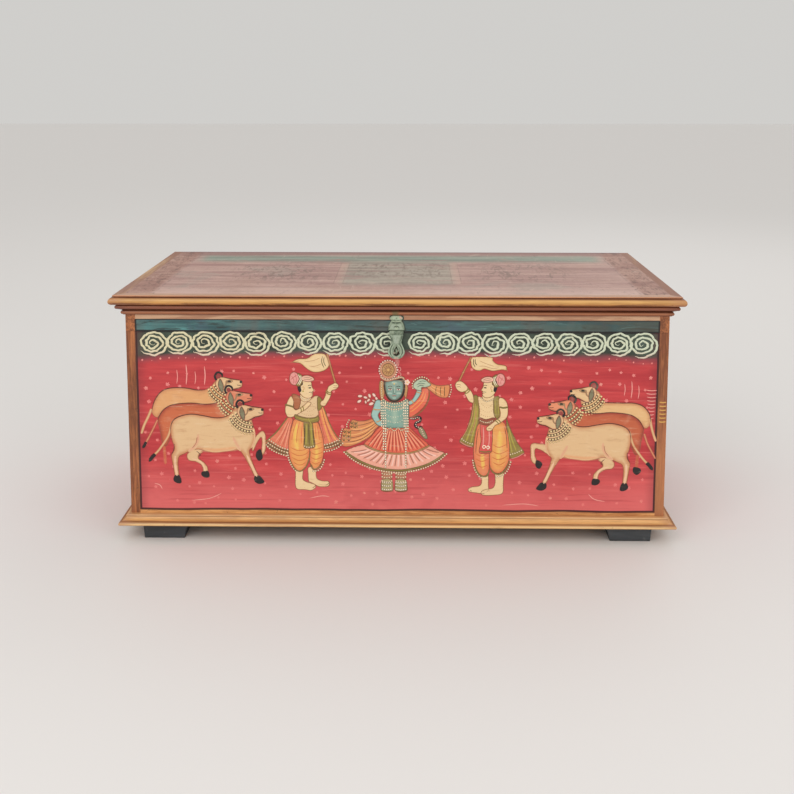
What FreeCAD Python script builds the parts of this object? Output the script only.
import FreeCAD, Part
import Sketcher
import math
import os
import sys

# Painted wooden chest: an open box with a flush back on four block feet, and a moulded lid that
# swings on two iron butt hinges and is shut by a hinged hasp over a staple.
# X runs to the right, the front faces -Y and Z is up. The origin is on the floor, under the
# middle of everything. Lengths are in millimetres and angles in degrees.

SIZES = {
    # box: four walls on a planked floor
    "box_width": 952.0,
    "box_depth": 476.0,
    "wall_height": 339.0,
    "wall_thickness": 16.0,
    "plank_thickness": 12.0,
    "plank_gap": 0.5,
    # feet: blocks with a hollowed inner end
    "foot_height": 29.0,
    "foot_top_width": 86.0,
    "foot_bottom_width": 72.0,
    "foot_side_inset": 20.0,
    "foot_batter": 2.5,
    "foot_depth": 70.0,
    "foot_hollow": 30.0,
    # plinth moulding: lip, hollow and bead, from the floor planks up
    "plinth_height": 18.0,
    "plinth_lip_run": 16.0,
    "plinth_lip_height": 7.0,
    "plinth_hollow_start": 14.0,
    "plinth_hollow_base": 8.0,
    "plinth_bead_run": 6.0,
    "plinth_bead_base": 14.0,
    "plinth_bead_height": 3.5,
    # lid: four skirt boards under a top of three boards
    "skirt_height": 50.0,
    "skirt_thickness": 16.0,
    "top_thickness": 17.0,
    "seam_gap": 0.4,
    "batten_width": 40.0,
    "batten_thickness": 12.0,
    "batten_inset": 236.0,
    # edge strip round the top: a fat roll under a fine bead
    "roll_run": 17.5,
    "roll_height": 13.0,
    "roll_groove_run": 15.5,
    "rim_bead_base": 14.0,
    "rim_bead_run": 16.0,
    # cornice under the edge strip: two beads and a slope
    "cornice_height": 20.0,
    "low_bead_run": 3.0,
    "low_bead_base": 1.0,
    "low_bead_height": 7.0,
    "slope_run": 5.0,
    "slope_base": 9.0,
    "high_bead_run": 11.0,
    "high_bead_base": 11.5,
    "high_bead_height": 7.5,
    "cornice_neck_run": 9.0,
    # butt hinges on the flush back
    "hinge_inset": 176.0,
    "hinge_width": 60.0,
    "hinge_leaf_thickness": 2.0,
    "box_leaf_height": 55.0,
    "lid_leaf_height": 40.0,
    "hinge_knuckle_radius": 4.0,
    "hinge_pin_radius": 2.0,
    "hinge_middle_width": 22.0,
    "pin_head_radius": 3.4,
    "pin_head_height": 1.5,
    # hasp: a plate on the lid, a hinged strap with a drop-shaped slot, and its staple
    "hasp_face_gap": 0.4,
    "hasp_knuckle_radius": 3.2,
    "hasp_pin_radius": 1.5,
    "hasp_pin_head_radius": 2.4,
    "hasp_pin_head_height": 1.0,
    "hasp_plate_thickness": 2.4,
    "hasp_plate_foot_width": 28.0,
    "hasp_plate_foot_height": 12.0,
    "hasp_plate_waist_width": 17.0,
    "hasp_plate_waist_rise": 20.0,
    "hasp_plate_crown_width": 24.0,
    "hasp_plate_crown_rise": 26.0,
    "hasp_plate_tip_width": 14.0,
    "hasp_middle_width": 8.0,
    "hasp_outer_width": 7.0,
    "strap_length": 46.0,
    "strap_shoulder_width": 24.0,
    "strap_shoulder_drop": 5.0,
    "strap_neck_width": 17.0,
    "strap_neck_drop": 17.0,
    "strap_bud_width": 30.0,
    "strap_bud_drop": 33.0,
    "strap_tip_width": 9.0,
    "slot_top_drop": 22.0,
    "slot_width": 11.0,
    "slot_round_drop": 35.5,
    "strap_rest_tilt": 15.0,
    "staple_drop": 33.0,
    "staple_wire_radius": 1.5,
    "staple_height": 12.0,
    "staple_nose": 12.0,
    "staple_embed": 12.0,
    # nails with domed heads, and punched ones that lie under the paint
    "nail_radius": 1.25,
    "nail_length": 34.0,
    "nail_head_radius": 3.0,
    "nail_head_height": 0.8,
    "head_crown_share": 0.6,
    "side_nail_inset": 30.0,
    "skirt_nail_rise": 8.0,
    "skirt_nail_step": 14.0,
    "floor_nail_inset": 156.0,
    "batten_nail_length": 20.0,
    "board_nail_step": 70.0,
    "foot_nail_step": 36.0,
    "brad_radius": 0.8,
    "brad_length": 26.0,
    "brad_end_inset": 60.0,
    "punch_depth": 2.0,
    # screws and rivets
    "screw_radius": 1.5,
    "screw_length": 12.0,
    "screw_head_radius": 3.2,
    "screw_head_height": 0.9,
    "screw_step": 20.0,
    "screw_drop": 30.0,
    "lid_screw_rise": 24.0,
    "rivet_radius": 1.2,
    "rivet_length": 12.0,
    "rivet_head_radius": 2.2,
    "rivet_head_height": 1.1,
    "low_rivet_rise": 9.0,
    "high_rivet_rise": 25.0,
    # clearances and cutting overrun
    "pin_clearance": 0.05,
    "knuckle_clearance": 0.3,
    "board_clearance": 0.3,
    "overrun": 5.0,
}


class Size:
    """A length that carries both its number and its rule in the sheet."""

    def __init__(self, value, rule):
        self.value = value
        self.rule = rule

    def __add__(self, other):
        other = as_size(other)
        return Size(self.value + other.value, f"({self.rule} + {other.rule})")

    def __sub__(self, other):
        other = as_size(other)
        return Size(self.value - other.value, f"({self.rule} - {other.rule})")

    def __mul__(self, factor):
        factor = as_size(factor)
        return Size(self.value * factor.value, f"({self.rule} * {factor.rule})")

    def __truediv__(self, factor):
        return Size(self.value / factor, f"({self.rule} / {factor})")

    def __neg__(self):
        return Size(-self.value, f"(0 - {self.rule})")


def as_size(length):
    return length if isinstance(length, Size) else Size(float(length), str(length))


document = FreeCAD.newDocument("painted_chest")
sheet = document.addObject("Spreadsheet::Sheet", "sizes")
for row, (alias, number) in enumerate(SIZES.items(), start=1):
    sheet.set(f"A{row}", alias)
    sheet.set(f"B{row}", str(number))
    sheet.setAlias(f"B{row}", alias)
document.recompute()


class Named:
    """Each size of the sheet under its own name."""


s = Named()
for alias, number in SIZES.items():
    setattr(s, alias, Size(number, f"sizes.{alias}"))

UP = FreeCAD.Vector(0, 0, 1)
RIGHT = FreeCAD.Vector(1, 0, 0)
BACKWARD = FreeCAD.Vector(0, 1, 0)
ZERO = Size(0.0, "0")

# Levels and faces that the pieces share
roll_radius = s.roll_height / 2
edge_reach = s.roll_run + roll_radius
back_proud = s.hinge_knuckle_radius * 2
front = (edge_reach - s.box_depth - back_proud) / 2
back = front + s.box_depth
middle = (front + back) / 2
side = s.box_width / 2
floor_base = s.foot_height
floor_top = s.foot_height + s.plank_thickness
seam = floor_top + s.wall_height
lid_base = seam + s.seam_gap
top_base = lid_base + s.skirt_height
cornice_base = top_base - s.cornice_height
hinge_axis_y = back + s.hinge_knuckle_radius
hasp_axis_y = front - s.hasp_face_gap - s.hasp_knuckle_radius

parts = []


def bind(item, **rules):
    for path, length in rules.items():
        item.setExpression(path, as_size(length).rule)


def put(item, x, y, z, turn=None):
    """Place an item's origin, turned first where a turn is given."""
    if turn is not None:
        item.Placement = FreeCAD.Placement(FreeCAD.Vector(), turn)
    for axis, length in zip("xyz", (x, y, z)):
        item.setExpression(f"Placement.Base.{axis}", as_size(length).rule)


def part(item, label):
    item.Label = label
    parts.append(item)
    return item


def board(label, low, high):
    """A plain board between two corners."""
    item = document.addObject("Part::Box", label)
    spans = [end - start for start, end in zip(low, high)]
    bind(item, Length=spans[0], Width=spans[1], Height=spans[2])
    put(item, *low)
    return item


def rod(label, at, along, radius, length):
    """A round bar from a point along a direction."""
    item = document.addObject("Part::Cylinder", label)
    bind(item, Radius=radius, Height=length)
    put(item, *at, turn=FreeCAD.Rotation(UP, along))
    return item


def fused(label, items):
    item = document.addObject("Part::MultiFuse", label)
    item.Shapes = items
    return item


def cut(label, base, tool):
    item = document.addObject("Part::Cut", label)
    item.Base = base
    item.Tool = tool
    return item


def group(label, items):
    item = document.addObject("Part::Compound", label)
    item.Links = items
    return part(item, label)


def centre_of(start, end, known_axis, known):
    """The centre of an arc through two points, with one of its coordinates known."""
    (ax, ay), (bx, by) = start, end
    mx, my = (ax + bx) / 2, (ay + by) / 2
    if known_axis == "X":
        return known, (my if ay == by else my - (known - mx) * (bx - ax) / (by - ay))
    return (mx if ax == bx else mx - (known - my) * (by - ay) / (bx - ax)), known


def outline(body, name, plane, corners, arcs=None):
    """A closed sketch, each corner held by its distances from the origin.

    arcs maps an edge, by the number of the corner where it starts, to the axis and place of its
    centre and the way that it turns, 1 for counter-clockwise.
    """
    arcs = arcs or {}
    sketch = body.newObject("Sketcher::SketchObject", name)
    planes = [item for item in body.Origin.OriginFeatures if item.Role == plane]
    sketch.AttachmentSupport = [(planes[0], "")]
    sketch.MapMode = "FlatFace"
    corners = [(as_size(x), as_size(y)) for x, y in corners]
    points = [(x.value, y.value) for x, y in corners]
    ends = []
    for number, start in enumerate(points):
        end = points[(number + 1) % len(points)]
        if number not in arcs:
            sketch.addGeometry(Part.LineSegment(FreeCAD.Vector(*start), FreeCAD.Vector(*end)), False)
            ends.append((1, 2))
            continue
        axis, place, way = arcs[number]
        centre = centre_of(start, end, axis, as_size(place).value)
        radius = math.dist(centre, start)
        first, last = (start, end) if way > 0 else (end, start)
        angles = [math.atan2(y - centre[1], x - centre[0]) for x, y in (first, last)]
        if angles[1] <= angles[0]:
            angles[1] += 2 * math.pi
        circle = Part.Circle(FreeCAD.Vector(*centre), UP, radius)
        sketch.addGeometry(Part.ArcOfCircle(circle, *angles), False)
        ends.append((1, 2) if way > 0 else (2, 1))
    for number, (x, y) in enumerate(corners):
        before = (number - 1) % len(corners)
        sketch.addConstraint(
            Sketcher.Constraint("Coincident", before, ends[before][1], number, ends[number][0]))
        for kind, length in (("DistanceX", x), ("DistanceY", y)):
            hold(sketch, kind, f"{kind}{number}", number, ends[number][0], length)
    for number, (axis, place, way) in arcs.items():
        hold(sketch, "Distance" + axis, f"Centre{number}", number, 3, as_size(place))
    return sketch


def hold(sketch, kind, name, edge, point, length):
    index = sketch.addConstraint(Sketcher.Constraint(kind, -1, 1, edge, point, length.value))
    sketch.renameConstraint(index, name)
    sketch.setExpression(f"Constraints.{name}", length.rule)


def pad(body, name, sketch, length, side_type="One side", length_back=None):
    feature = body.newObject("PartDesign::Pad", name)
    feature.Profile = sketch
    feature.SideType = side_type
    bind(feature, Length=length)
    if length_back is not None:
        bind(feature, Length2=length_back)
    return feature


def pocket_all(body, name, sketch):
    feature = body.newObject("PartDesign::Pocket", name)
    feature.Profile = sketch
    feature.SideType = "Symmetric"
    feature.Type = "ThroughAll"
    return feature


# Box: the walls stand on three floor planks, and the front and back boards sit between the sides,
# whose front edges show as plain strips.
inner_side = side - s.wall_thickness
inner_front = front + s.wall_thickness
inner_back = back - s.wall_thickness
for label, low_y, high_y in (("front_board", front, inner_front), ("back_board", inner_back, back)):
    part(board(label, (-inner_side, low_y, floor_top), (inner_side, high_y, seam)), label)
for label, low_x, high_x in (("left_side_board", -side, -inner_side),
                             ("right_side_board", inner_side, side)):
    part(board(label, (low_x, front, floor_top), (high_x, back, seam)), label)
plank_depth = (s.box_depth - s.plank_gap * 2) / 3
plank_front = front
for place in ("front", "middle", "back"):
    label = f"floor_plank_{place}"
    plank_back = plank_front + plank_depth
    part(board(label, (-side, plank_front, floor_base), (side, plank_back, floor_top)), label)
    plank_front = plank_back + s.plank_gap


# Feet: each is a block whose outer end leans in a little and whose inner end is hollowed.
def foot(label, hand, low_y):
    body = document.addObject("PartDesign::Body", label)
    outer = (side - s.foot_side_inset) * hand
    inner = outer - s.foot_top_width * hand
    toe = outer - s.foot_batter * hand
    corners = [(toe, ZERO), (outer, s.foot_height), (inner, s.foot_height),
               (toe - s.foot_bottom_width * hand, ZERO)]
    shape = outline(body, "FootOutline", "XZ_Plane", corners,
                    {2: ("X", inner - s.foot_hollow * hand, -hand)})
    pad(body, "FootDepth", shape, s.foot_depth)
    put(body, ZERO, low_y + s.foot_depth, ZERO)
    return part(body, label)


for row_name, low_y in (("front", front), ("back", back - s.foot_depth)):
    foot(f"foot_{row_name}_left", -1, low_y)
    foot(f"foot_{row_name}_right", 1, low_y)


# Mouldings: each profile is drawn outwards from the wall and upwards from its base, run along the
# wall and mitred at the front corners.
def moulding(label, base, corners, arcs, reach, place):
    body = document.addObject("PartDesign::Body", label)
    drawn = [(-as_size(out), rise) for out, rise in corners]
    centres = {number: (axis, -as_size(spot) if axis == "X" else spot, -way)
               for number, (axis, spot, way) in arcs.items()}
    shape = outline(body, "Profile", "YZ_Plane", drawn, centres)
    half = side if place == "front" else s.box_depth / 2
    mitred = {"front": (-1, 1), "left": (1,), "right": (-1,)}[place]
    runs = [half + reach if end in mitred else half for end in (1, -1)]
    pad(body, "Run", shape, runs[0], "Two sides", runs[1])
    for end in mitred:
        far = (half + reach + s.overrun) * end
        near = (half - s.overrun) * end
        triangle = outline(body, f"Mitre{end + 1}", "XY_Plane",
                           [(near, s.overrun), (far, -(reach + s.overrun)), (far, s.overrun)])
        pocket_all(body, f"MitreCut{end + 1}", triangle)
    spot = {"front": (ZERO, front), "left": (-side, middle), "right": (side, middle)}[place]
    turn = {"front": 0, "left": -90, "right": 90}[place]
    put(body, *spot, base, turn=FreeCAD.Rotation(UP, turn))
    return part(body, label)


plinth_lip_radius = s.plinth_lip_height / 2
plinth_reach = s.plinth_lip_run + plinth_lip_radius
plinth_bead_top = s.plinth_bead_base + s.plinth_bead_height
plinth_corners = [(ZERO, ZERO), (s.plinth_lip_run, ZERO), (s.plinth_lip_run, s.plinth_lip_height),
                  (s.plinth_hollow_start, s.plinth_lip_height),
                  (s.plinth_hollow_start, s.plinth_hollow_base),
                  (s.plinth_bead_run, s.plinth_bead_base), (s.plinth_bead_run, plinth_bead_top),
                  (s.plinth_bead_run / 2, plinth_bead_top), (s.plinth_bead_run / 2, s.plinth_height),
                  (ZERO, s.plinth_height)]
plinth_arcs = {1: ("X", s.plinth_lip_run, 1), 4: ("X", s.plinth_hollow_start, -1),
               5: ("X", s.plinth_bead_run, 1)}

edge_corners = [(ZERO, ZERO), (s.roll_run, ZERO), (s.roll_run, s.roll_height),
                (s.roll_groove_run, s.roll_height), (s.roll_groove_run, s.rim_bead_base),
                (s.rim_bead_run, s.rim_bead_base), (s.rim_bead_run, s.top_thickness),
                (ZERO, s.top_thickness)]
edge_arcs = {1: ("X", s.roll_run, 1), 5: ("X", s.rim_bead_run, 1)}

low_bead_top = s.low_bead_base + s.low_bead_height
high_bead_top = s.high_bead_base + s.high_bead_height
cornice_reach = s.high_bead_run + s.high_bead_height / 2
cornice_corners = [(ZERO, ZERO), (s.low_bead_run, ZERO), (s.low_bead_run, s.low_bead_base),
                   (s.low_bead_run, low_bead_top), (s.slope_run, s.slope_base),
                   (s.high_bead_run, s.high_bead_base), (s.high_bead_run, high_bead_top),
                   (s.cornice_neck_run, high_bead_top), (s.cornice_neck_run, s.cornice_height),
                   (ZERO, s.cornice_height)]
cornice_arcs = {2: ("X", s.low_bead_run, 1), 5: ("X", s.high_bead_run, 1)}

for place in ("front", "left", "right"):
    moulding(f"plinth_{place}", floor_base, plinth_corners, plinth_arcs, plinth_reach, place)
    moulding(f"cornice_{place}", cornice_base, cornice_corners, cornice_arcs, cornice_reach, place)
    moulding(f"lid_edge_{place}", top_base, edge_corners, edge_arcs, edge_reach, place)

# Lid: the skirt repeats the box's corners, three boards lie on it, and two battens tie them.
skirt_side = side - s.skirt_thickness
skirt_front = front + s.skirt_thickness
skirt_back = back - s.skirt_thickness
for label, low_y, high_y in (("lid_skirt_front", front, skirt_front),
                             ("lid_skirt_back", skirt_back, back)):
    part(board(label, (-skirt_side, low_y, lid_base), (skirt_side, high_y, top_base)), label)
for label, low_x, high_x in (("lid_skirt_left", -side, -skirt_side),
                             ("lid_skirt_right", skirt_side, side)):
    part(board(label, (low_x, front, lid_base), (high_x, back, top_base)), label)
lid_top = top_base + s.top_thickness
top_front = front
for place in ("front", "middle", "back"):
    label = f"top_board_{place}"
    top_back = top_front + plank_depth
    part(board(label, (-side, top_front, top_base), (side, top_back, lid_top)), label)
    top_front = top_back + s.plank_gap
batten_front = skirt_front + s.board_clearance
batten_back = skirt_back - s.board_clearance
batten_base = top_base - s.batten_thickness
batten_x = side - s.batten_inset
for label, hand in (("lid_batten_left", -1), ("lid_batten_right", 1)):
    low_x = batten_x * hand - s.batten_width / 2
    part(board(label, (low_x, batten_front, batten_base),
               (low_x + s.batten_width, batten_back, top_base)), label)


# Hinges: the box leaf carries the two outer knuckles and the pin, the lid leaf the middle one.
# A knuckle is a barrel on a neck that joins it to the flat leaf.
hinge_half = s.hinge_width / 2
hinge_x = side - s.hinge_inset
hinge_axis_z = seam + s.seam_gap / 2
leaf_back = back + s.hinge_leaf_thickness
leaf_step = s.hinge_knuckle_radius + s.knuckle_clearance
lid_knuckle = s.hinge_middle_width / 2
box_knuckle = lid_knuckle + s.knuckle_clearance
screw_places = (-s.screw_step, ZERO, s.screw_step)


def leaf(label, x, knuckles, low, high, neck_low, neck_high, screw_z):
    """A hinge leaf between two levels, with a knuckle over each span of its width."""
    solids = [board(label + "_plate", (x - hinge_half, back, low), (x + hinge_half, leaf_back, high))]
    for number, (start, end) in enumerate(knuckles):
        solids.append(board(f"{label}_neck{number}", (x + start, back, neck_low),
                            (x + end, leaf_back, neck_high)))
        solids.append(rod(f"{label}_barrel{number}", (x + start, hinge_axis_y, hinge_axis_z),
                          RIGHT, s.hinge_knuckle_radius, end - start))
    holes = [rod(label + "_bore", (x - hinge_half - s.overrun, hinge_axis_y, hinge_axis_z), RIGHT,
                 s.hinge_pin_radius + s.pin_clearance, s.hinge_width + s.overrun * 2)]
    for number, shift in enumerate(screw_places):
        holes.append(rod(f"{label}_hole{number}", (x + shift, back - s.overrun, screw_z), BACKWARD,
                         s.screw_radius + s.pin_clearance, s.overrun * 2 + s.hinge_leaf_thickness))
    return part(cut(label, fused(label + "_solid", solids), fused(label + "_holes", holes)), label)


box_screw_z = hinge_axis_z - s.screw_drop
lid_screw_z = hinge_axis_z + s.lid_screw_rise
for hand, name in ((-1, "left"), (1, "right")):
    x = hinge_x * hand
    leaf(f"box_hinge_leaf_{name}", x, ((-hinge_half, -box_knuckle), (box_knuckle, hinge_half)),
         hinge_axis_z - s.box_leaf_height, hinge_axis_z - leaf_step,
         hinge_axis_z - leaf_step, hinge_axis_z, box_screw_z)
    leaf(f"lid_hinge_leaf_{name}", x, ((-lid_knuckle, lid_knuckle),),
         hinge_axis_z + leaf_step, hinge_axis_z + s.lid_leaf_height,
         hinge_axis_z, hinge_axis_z + leaf_step, lid_screw_z)
    pieces = [rod(f"hinge_pin_{name}_shank", (x - hinge_half, hinge_axis_y, hinge_axis_z), RIGHT,
                  s.hinge_pin_radius, s.hinge_width)]
    for end_name, start in (("head", x - hinge_half - s.pin_head_height), ("tail", x + hinge_half)):
        pieces.append(rod(f"hinge_pin_{name}_{end_name}", (start, hinge_axis_y, hinge_axis_z),
                          RIGHT, s.pin_head_radius, s.pin_head_height))
    part(fused(f"hinge_pin_{name}", pieces), f"hinge_pin_{name}")


# Hasp: its plate and strap are drawn as seen from the front, about the hasp's pin.
def facing_plate(label, corners, arcs, setback, slot=None):
    """A flat plate whose front face stands a setback behind the pin's centre."""
    body = document.addObject("PartDesign::Body", label)
    shape = outline(body, "FaceOutline", "XZ_Plane", corners, arcs)
    feature = pad(body, "Thickness", shape, s.hasp_plate_thickness)
    feature.Reversed = True
    if slot:
        pocket_all(body, "SlotCut", outline(body, "SlotOutline", "XZ_Plane", *slot))
    put(body, ZERO, setback, ZERO)
    return body


def mirrored(right_half):
    """A closed outline from its right half, listed from the bottom up."""
    return right_half + [(-x, z) for x, z in reversed(right_half)]


def knuckled(label, plate, knuckles, neck_low, neck_high, setback):
    """Join barrels round the pin to a plate with necks, bore them and set the whole on the pin."""
    solids = [plate]
    for number, (start, end) in enumerate(knuckles):
        solids.append(board(f"{label}_neck{number}", (start, setback, neck_low),
                            (end, setback + s.hasp_plate_thickness, neck_high)))
        solids.append(rod(f"{label}_barrel{number}", (start, ZERO, ZERO), RIGHT,
                          s.hasp_knuckle_radius, end - start))
    half = knuckles[-1][1] + s.overrun
    bore = rod(label + "_bore", (-half, ZERO, ZERO), RIGHT,
               s.hasp_pin_radius + s.pin_clearance, half * 2)
    return cut(label, fused(label + "_solid", solids), bore)


middle_half = s.hasp_middle_width / 2
outer_start = middle_half + s.knuckle_clearance
outer_end = outer_start + s.hasp_outer_width
hasp_step = s.hasp_knuckle_radius + s.knuckle_clearance

# The plate lies flat on the lid's front skirt, waisted, with a pinched crown.
plate_right = [(s.hasp_plate_foot_width / 2, hasp_step),
               (s.hasp_plate_waist_width / 2, s.hasp_plate_waist_rise),
               (s.hasp_plate_crown_width / 2, s.hasp_plate_crown_rise),
               (s.hasp_plate_tip_width / 2, cornice_base - s.board_clearance - lid_base)]
plate_setback = s.hasp_face_gap + s.hasp_knuckle_radius - s.hasp_plate_thickness
foot_round = s.hasp_plate_foot_height / 2
plate = facing_plate("hasp_plate_blank", mirrored(plate_right),
                     {0: ("Y", foot_round, 1), 6: ("Y", foot_round, 1)}, plate_setback)
plate = knuckled("hasp_plate", plate, ((-outer_end, -outer_start), (outer_start, outer_end)),
                 ZERO, hasp_step, plate_setback)
put(plate, ZERO, hasp_axis_y, lid_base)
part(plate, "hasp_plate")

# The strap has shoulders, a neck and a bud with a drop-shaped slot. At rest it leans out on the
# nose of the staple, so that the lid can rise.
strap_right = [(s.strap_tip_width / 2, -s.strap_length),
               (s.strap_bud_width / 2, -s.strap_bud_drop),
               (s.strap_neck_width / 2, -s.strap_neck_drop),
               (s.strap_shoulder_width / 2, -s.strap_shoulder_drop),
               (s.strap_shoulder_width / 2, -hasp_step)]
slot_half = s.slot_width / 2
slot = [(slot_half, -s.slot_round_drop), (ZERO, -s.slot_top_drop), (-slot_half, -s.slot_round_drop)]
strap = facing_plate("hasp_strap_blank", mirrored(strap_right),
                     {0: ("Y", -s.strap_bud_drop, 1), 8: ("Y", -s.strap_bud_drop, 1)}, ZERO,
                     (slot, {2: ("Y", -s.slot_round_drop, 1)}))
strap = knuckled("hasp_strap", strap, ((-middle_half, middle_half),), -hasp_step, ZERO, ZERO)
put(strap, ZERO, hasp_axis_y, lid_base, turn=FreeCAD.Rotation(-RIGHT, SIZES["strap_rest_tilt"]))
strap.setExpression("Placement.Rotation.Angle", s.strap_rest_tilt.rule)
part(strap, "hasp_strap")

pieces = [rod("hasp_pin_shank", (-outer_end, hasp_axis_y, lid_base), RIGHT, s.hasp_pin_radius,
              outer_end * 2)]
for end_name, start in (("head", -outer_end - s.hasp_pin_head_height), ("tail", outer_end)):
    pieces.append(rod(f"hasp_pin_{end_name}", (start, hasp_axis_y, lid_base), RIGHT,
                      s.hasp_pin_head_radius, s.hasp_pin_head_height))
part(fused("hasp_pin", pieces), "hasp_pin")

# Staple: a wire bent to a U, its two legs driven into the front board one above the other.
bend = s.staple_height / 2 - s.staple_wire_radius
bend_y = front - s.staple_nose + s.staple_wire_radius + bend
staple_z = lid_base - s.staple_drop
nose = document.addObject("Part::Torus", "staple_nose_bend")
bind(nose, Radius1=bend, Radius2=s.staple_wire_radius)
nose.Angle3 = 180
put(nose, ZERO, bend_y, staple_z, turn=FreeCAD.Rotation(UP, -BACKWARD, RIGHT, "ZYX"))
legs = [rod(f"staple_leg{number}", (ZERO, bend_y, staple_z + level), BACKWARD,
            s.staple_wire_radius, front + s.staple_embed - bend_y)
        for number, level in enumerate((-bend, bend))]
part(fused("staple", [nose] + legs), "staple")


# Fasteners: each group of like ones is one sub-part made of separate solids.
def headed(name, at, into, radius, length, head_radius, head_height):
    """A shank driven in from a surface, with a low tapered head standing on it."""
    head = document.addObject("Part::Cone", name + "_head")
    bind(head, Radius1=head_radius, Radius2=head_radius * s.head_crown_share, Height=head_height)
    put(head, *at, turn=FreeCAD.Rotation(UP, -into))
    return fused(name, [rod(name + "_shank", at, into, radius, length), head])


def nail(name, at, into, length=s.nail_length):
    return headed(name, at, into, s.nail_radius, length, s.nail_head_radius, s.nail_head_height)


def screw(name, at, into):
    return headed(name, at, into, s.screw_radius, s.screw_length, s.screw_head_radius,
                  s.screw_head_height)


def rivet(name, at, into):
    return headed(name, at, into, s.rivet_radius, s.rivet_length, s.rivet_head_radius,
                  s.rivet_head_height)


def batten_nail(name, at, into):
    return nail(name, at, into, s.batten_nail_length)


def top_nail(name, at, into):
    return rod(name, at, into, s.nail_radius, s.nail_length)


def brad(name, at, into):
    return rod(name, at, into, s.brad_radius, s.brad_length)


def fasteners(label, maker, places):
    """A sub-part of like fasteners, one for each place and direction."""
    group(label, [maker(f"{label}_{number}", at, into) for number, (at, into) in enumerate(places)])


def spaced(low, high, count):
    """Evenly spaced places from one to another, both ends included."""
    return [low + (high - low) * number / (count - 1) for number in range(count)]


hands = (("left", -1), ("right", 1))
corner_lines = (front + s.wall_thickness / 2, back - s.wall_thickness / 2)
wall_levels = spaced(floor_top + s.side_nail_inset, seam - s.side_nail_inset, 4)
for name, hand in hands:
    fasteners(f"side_nails_{name}", nail,
              [((side * hand, y, z), RIGHT * -hand) for y in corner_lines for z in wall_levels])

skirt_lines = (front + s.skirt_thickness / 2, back - s.skirt_thickness / 2)
low_skirt_nail = lid_base + s.skirt_nail_rise
fasteners("skirt_nails", nail,
          [((side * hand, y, z), RIGHT * -hand) for name, hand in hands for y in skirt_lines
           for z in (low_skirt_nail, low_skirt_nail + s.skirt_nail_step)])

floor_nail_x = spaced(s.floor_nail_inset - side, side - s.floor_nail_inset, 5)
fasteners("floor_nails", nail,
          [((x, y, floor_base), UP) for x in floor_nail_x for y in corner_lines])

board_lines = [front + plank_depth / 2 + (plank_depth + s.plank_gap) * number + step
               for number in range(3) for step in (-s.board_nail_step / 2, s.board_nail_step / 2)]
fasteners("batten_nails", batten_nail,
          [((batten_x * hand, y, batten_base), UP) for name, hand in hands
           for y in board_lines])
fasteners("top_board_nails", top_nail,
          [(((side - s.skirt_thickness / 2) * hand, y, lid_top - s.punch_depth), -UP)
           for name, hand in hands for y in board_lines])

foot_nail_x = side - s.foot_side_inset - s.foot_top_width / 2
foot_lines = (front + s.foot_depth / 2, back - s.foot_depth / 2)
fasteners("foot_nails", top_nail,
          [((foot_nail_x * hand + step, y, s.punch_depth), UP) for name, hand in hands
           for y in foot_lines for step in (-s.foot_nail_step / 2, s.foot_nail_step / 2)])

front_brad_x = spaced(s.brad_end_inset - side, side - s.brad_end_inset, 8)
side_brad_y = spaced(front + s.brad_end_inset, back - s.brad_end_inset, 3)
for label, reach, level in (
        ("plinth_brads", plinth_reach, floor_base + plinth_lip_radius),
        ("cornice_brads", cornice_reach, cornice_base + s.high_bead_base + s.high_bead_height / 2),
        ("edge_brads", edge_reach, top_base + roll_radius)):
    sunk = reach - s.punch_depth
    places = [((x, front - sunk, level), BACKWARD) for x in front_brad_x]
    places += [(((side + sunk) * hand, y, level), RIGHT * -hand) for name, hand in hands
               for y in side_brad_y]
    fasteners(label, brad, places)

leaf_screw_x = [hinge_x * hand + shift for name, hand in hands for shift in screw_places]
for label, level in (("box_leaf_screws", box_screw_z), ("lid_leaf_screws", lid_screw_z)):
    fasteners(label, screw, [((x, leaf_back, level), -BACKWARD) for x in leaf_screw_x])
plate_face = front - s.hasp_plate_thickness
fasteners("hasp_rivets", rivet,
          [((ZERO, plate_face, lid_base + rise), BACKWARD)
           for rise in (s.low_rivet_rise, s.high_rivet_rise)])

document.recompute()
problems = [item.Name for item in document.Objects
            if "Invalid" in item.State or "Error" in item.State]
problems += [item.Label for item in parts if item.Shape.isNull() or not item.Shape.isValid()]
if problems:
    sys.exit("These did not build: " + ", ".join(problems))
os.makedirs("parts", exist_ok=True)
for item in parts:
    item.Shape.exportStep(f"parts/{item.Label}.step")
print(len(parts), "sub-parts written")
